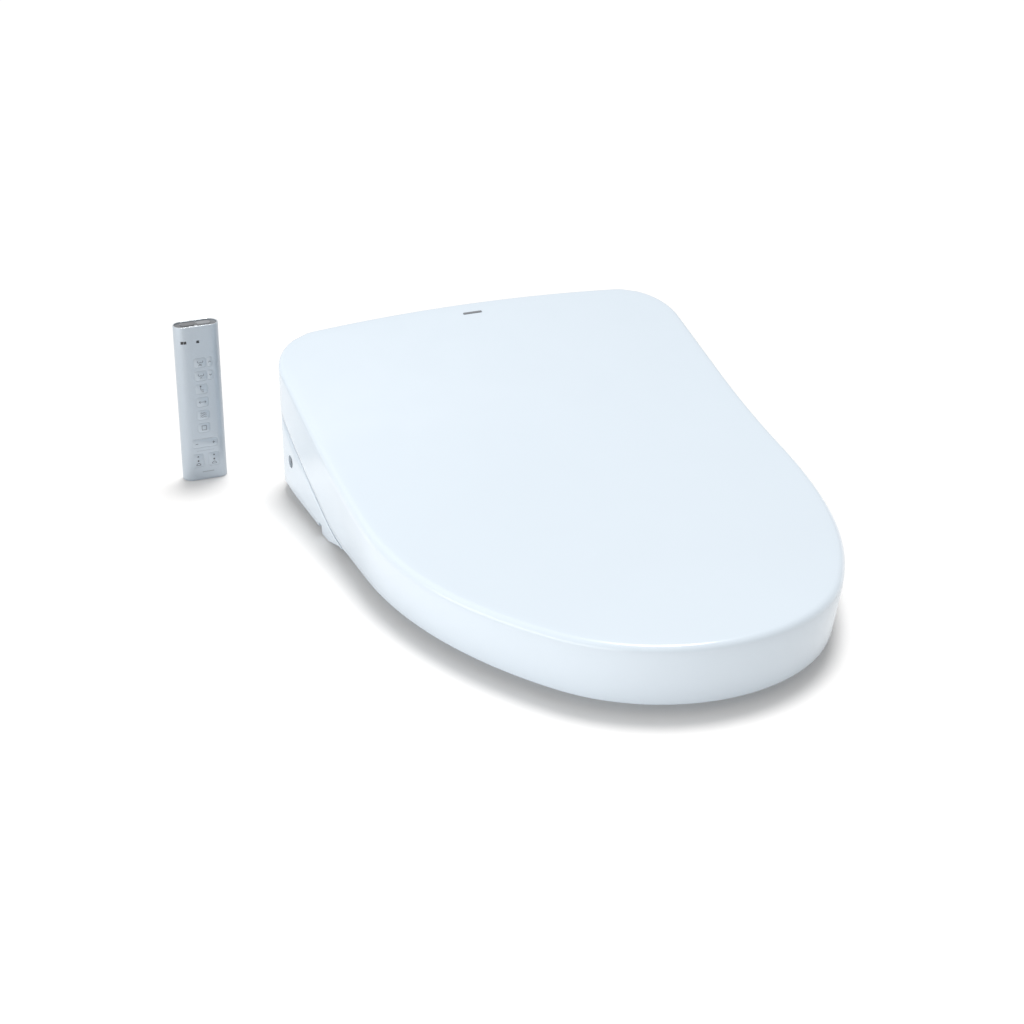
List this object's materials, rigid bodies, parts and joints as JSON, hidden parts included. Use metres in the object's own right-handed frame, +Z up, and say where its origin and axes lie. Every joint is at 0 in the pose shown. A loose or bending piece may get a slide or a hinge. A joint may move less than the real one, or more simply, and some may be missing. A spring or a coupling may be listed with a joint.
{
  "type": "electric bidet seat",
  "caption": "Electric bidet seat: a dished lid over a heated ring seat, hinged to a rear housing with spray wand, dryer and filter, with a separate handset.",
  "frame": {"origin": "midway between the two mounting bolt holes, on the plane that rests on the bowl rim", "axes": "+Z up, the seat's nose towards -Y, +X to the right for a person facing the seat from the front"},
  "size_m": [0.457, 0.557, 0.1455],
  "materials": {
    "shell_white": "gloss",
    "inner_white": "satin",
    "grey_plastic": "satin",
    "dark_plastic": "satin",
    "duct_grey": "satin",
    "soft_rubber": "matt",
    "steel": "satin",
    "brass": "satin",
    "lens": "gloss",
    "dark_lens": "gloss",
    "board_green": "satin",
    "tank_tan": "satin",
    "tube_clear": "gloss",
    "foil": "satin",
    "handset_silver": "satin",
    "handset_key": "satin",
    "handset_cap": "satin",
    "battery_sleeve": "gloss"
  },
  "bodies": {
    "mount_plate": {"base_plate": "grey_plastic", "bolt_bushings": "soft_rubber"},
    "housing": {"lower_case": "shell_white", "top_cover": "shell_white", "front_panel": "shell_white", "indicator_lens": "lens", "sensor_lens": "dark_lens", "nozzle_guide": "duct_grey", "nozzle_motor": "grey_plastic", "inlet_valve": "brass", "water_heater": "tank_tan", "water_pump": "dark_plastic", "water_tubes": "tube_clear", "dryer_duct": "duct_grey", "deodorizer_case": "duct_grey", "control_board": "board_green", "power_module": "dark_plastic", "cord_gland": "dark_plastic", "seat_damper": "grey_plastic", "lid_damper": "grey_plastic", "hinge_shafts": "steel", "case_screws": "steel", "housing_feet": "soft_rubber", "drain_plug": "grey_plastic"},
    "seat": {"seat_top_shell": "shell_white", "seat_base_shell": "shell_white", "seat_heater": "foil", "seat_bumpers": "soft_rubber", "seat_arms": "shell_white"},
    "lid": {"lid_shell": "shell_white", "lid_hinge_lugs": "shell_white", "lid_bumpers": "soft_rubber", "lid_badge": "grey_plastic"},
    "wand": {"spray_wand": "inner_white", "wand_tip": "inner_white", "wand_shield": "shell_white"},
    "pinion": {"drive_pinion": "inner_white"},
    "dryer_flap": {"dryer_flap": "shell_white"},
    "dryer_impeller": {"dryer_impeller": "dark_plastic"},
    "deodorizer_impeller": {"deodorizer_impeller": "dark_plastic"},
    "release_button": {"release_button": "grey_plastic"},
    "filter": {"filter_cartridge": "shell_white"},
    "remote": {"remote_body": "handset_silver", "remote_top_cap": "handset_cap", "remote_batteries": "battery_sleeve", "remote_board": "board_green"},
    "battery_door": {"remote_battery_door": "handset_silver"},
    "key_rear": {"key_rear": "handset_key"},
    "key_rear_soft": {"key_rear_soft": "handset_key"},
    "key_front": {"key_front": "handset_key"},
    "key_oscillate": {"key_oscillate": "handset_key"},
    "key_dry": {"key_dry": "handset_key"},
    "key_stop": {"key_stop": "handset_key"},
    "key_up": {"key_up": "handset_key"},
    "key_down": {"key_down": "handset_key"},
    "key_rocker": {"key_rocker": "handset_key"},
    "key_user_1": {"key_user_1": "handset_key"},
    "key_user_2": {"key_user_2": "handset_key"},
    "key_lid": {"key_lid": "dark_plastic"},
    "key_seat": {"key_seat": "dark_plastic"}
  },
  "joints": [
    {"name": "unit_slide", "type": "slide", "parent": "mount_plate", "child": "housing", "axis": [0, -1, 0], "range_m": [0, 0.09]},
    {"name": "seat_hinge", "type": "hinge", "parent": "housing", "child": "seat", "pos_m": [0, 0.034, 0.095], "axis": [-1, 0, 0], "range_deg": [0, 95]},
    {"name": "lid_hinge", "type": "hinge", "parent": "seat", "child": "lid", "pos_m": [0, 0.034, 0.095], "axis": [1, 0, 0], "range_deg": [-105, 0]},
    {"name": "wand_slide", "type": "slide", "parent": "housing", "child": "wand", "axis": [0, -0.9135, -0.4067], "range_m": [0, 0.0754]},
    {"name": "pinion_spin", "type": "hinge", "parent": "housing", "child": "pinion", "pos_m": [0.0085, -0.05492, 0.05556], "axis": [-1, 0, 0], "range_deg": [0, 720.1]},
    {"name": "flap_hinge", "type": "hinge", "parent": "housing", "child": "dryer_flap", "pos_m": [0.085, -0.0766, 0.0411], "axis": [-1, 0, 0], "range_deg": [0, 75]},
    {"name": "dryer_fan_spin", "type": "hinge", "parent": "housing", "child": "dryer_impeller", "pos_m": [0.084, -0.008, 0.02], "axis": [0, 0, 1], "continuous": true},
    {"name": "deodorizer_fan_spin", "type": "hinge", "parent": "housing", "child": "deodorizer_impeller", "pos_m": [0.134, -0.034, 0.0195], "axis": [0, 0, 1], "continuous": true},
    {"name": "release_press", "type": "slide", "parent": "housing", "child": "release_button", "axis": [1, 0, 0], "range_m": [0, 0.002], "stiffness_N_per_m": 1500},
    {"name": "filter_slide", "type": "slide", "parent": "housing", "child": "filter", "axis": [1, 0, 0], "range_m": [0, 0.036]},
    {"name": "remote_lift", "type": "slide", "parent": "mount_plate", "child": "remote", "axis": [0, 0, 1], "range_m": [0, 0.15]},
    {"name": "battery_door_pull", "type": "slide", "parent": "remote", "child": "battery_door", "axis": [0, 1, 0], "range_m": [0, 0.015]},
    {"name": "key_rear_press", "type": "slide", "parent": "remote", "child": "key_rear", "axis": [0, 1, 0], "range_m": [0, 0.0008], "stiffness_N_per_m": 1500},
    {"name": "key_rear_soft_press", "type": "slide", "parent": "remote", "child": "key_rear_soft", "axis": [0, 1, 0], "range_m": [0, 0.0008], "stiffness_N_per_m": 1500},
    {"name": "key_front_press", "type": "slide", "parent": "remote", "child": "key_front", "axis": [0, 1, 0], "range_m": [0, 0.0008], "stiffness_N_per_m": 1500},
    {"name": "key_oscillate_press", "type": "slide", "parent": "remote", "child": "key_oscillate", "axis": [0, 1, 0], "range_m": [0, 0.0008], "stiffness_N_per_m": 1500},
    {"name": "key_dry_press", "type": "slide", "parent": "remote", "child": "key_dry", "axis": [0, 1, 0], "range_m": [0, 0.0008], "stiffness_N_per_m": 1500},
    {"name": "key_stop_press", "type": "slide", "parent": "remote", "child": "key_stop", "axis": [0, 1, 0], "range_m": [0, 0.0008], "stiffness_N_per_m": 1500},
    {"name": "key_up_press", "type": "slide", "parent": "remote", "child": "key_up", "axis": [0, 1, 0], "range_m": [0, 0.0008], "stiffness_N_per_m": 1500},
    {"name": "key_down_press", "type": "slide", "parent": "remote", "child": "key_down", "axis": [0, 1, 0], "range_m": [0, 0.0008], "stiffness_N_per_m": 1500},
    {"name": "key_rocker_press", "type": "slide", "parent": "remote", "child": "key_rocker", "axis": [0, 1, 0], "range_m": [0, 0.0008], "stiffness_N_per_m": 1500},
    {"name": "key_user_1_press", "type": "slide", "parent": "remote", "child": "key_user_1", "axis": [0, 1, 0], "range_m": [0, 0.0008], "stiffness_N_per_m": 1500},
    {"name": "key_user_2_press", "type": "slide", "parent": "remote", "child": "key_user_2", "axis": [0, 1, 0], "range_m": [0, 0.0008], "stiffness_N_per_m": 1500},
    {"name": "key_lid_press", "type": "slide", "parent": "remote", "child": "key_lid", "axis": [0, 0, -1], "range_m": [0, 0.001], "stiffness_N_per_m": 1500},
    {"name": "key_seat_press", "type": "slide", "parent": "remote", "child": "key_seat", "axis": [0, 0, -1], "range_m": [0, 0.001], "stiffness_N_per_m": 1500}
  ],
  "couplings": [
    {"joint": "pinion_spin", "follows": "wand_slide", "rad_per_m": 166.67}
  ]
}
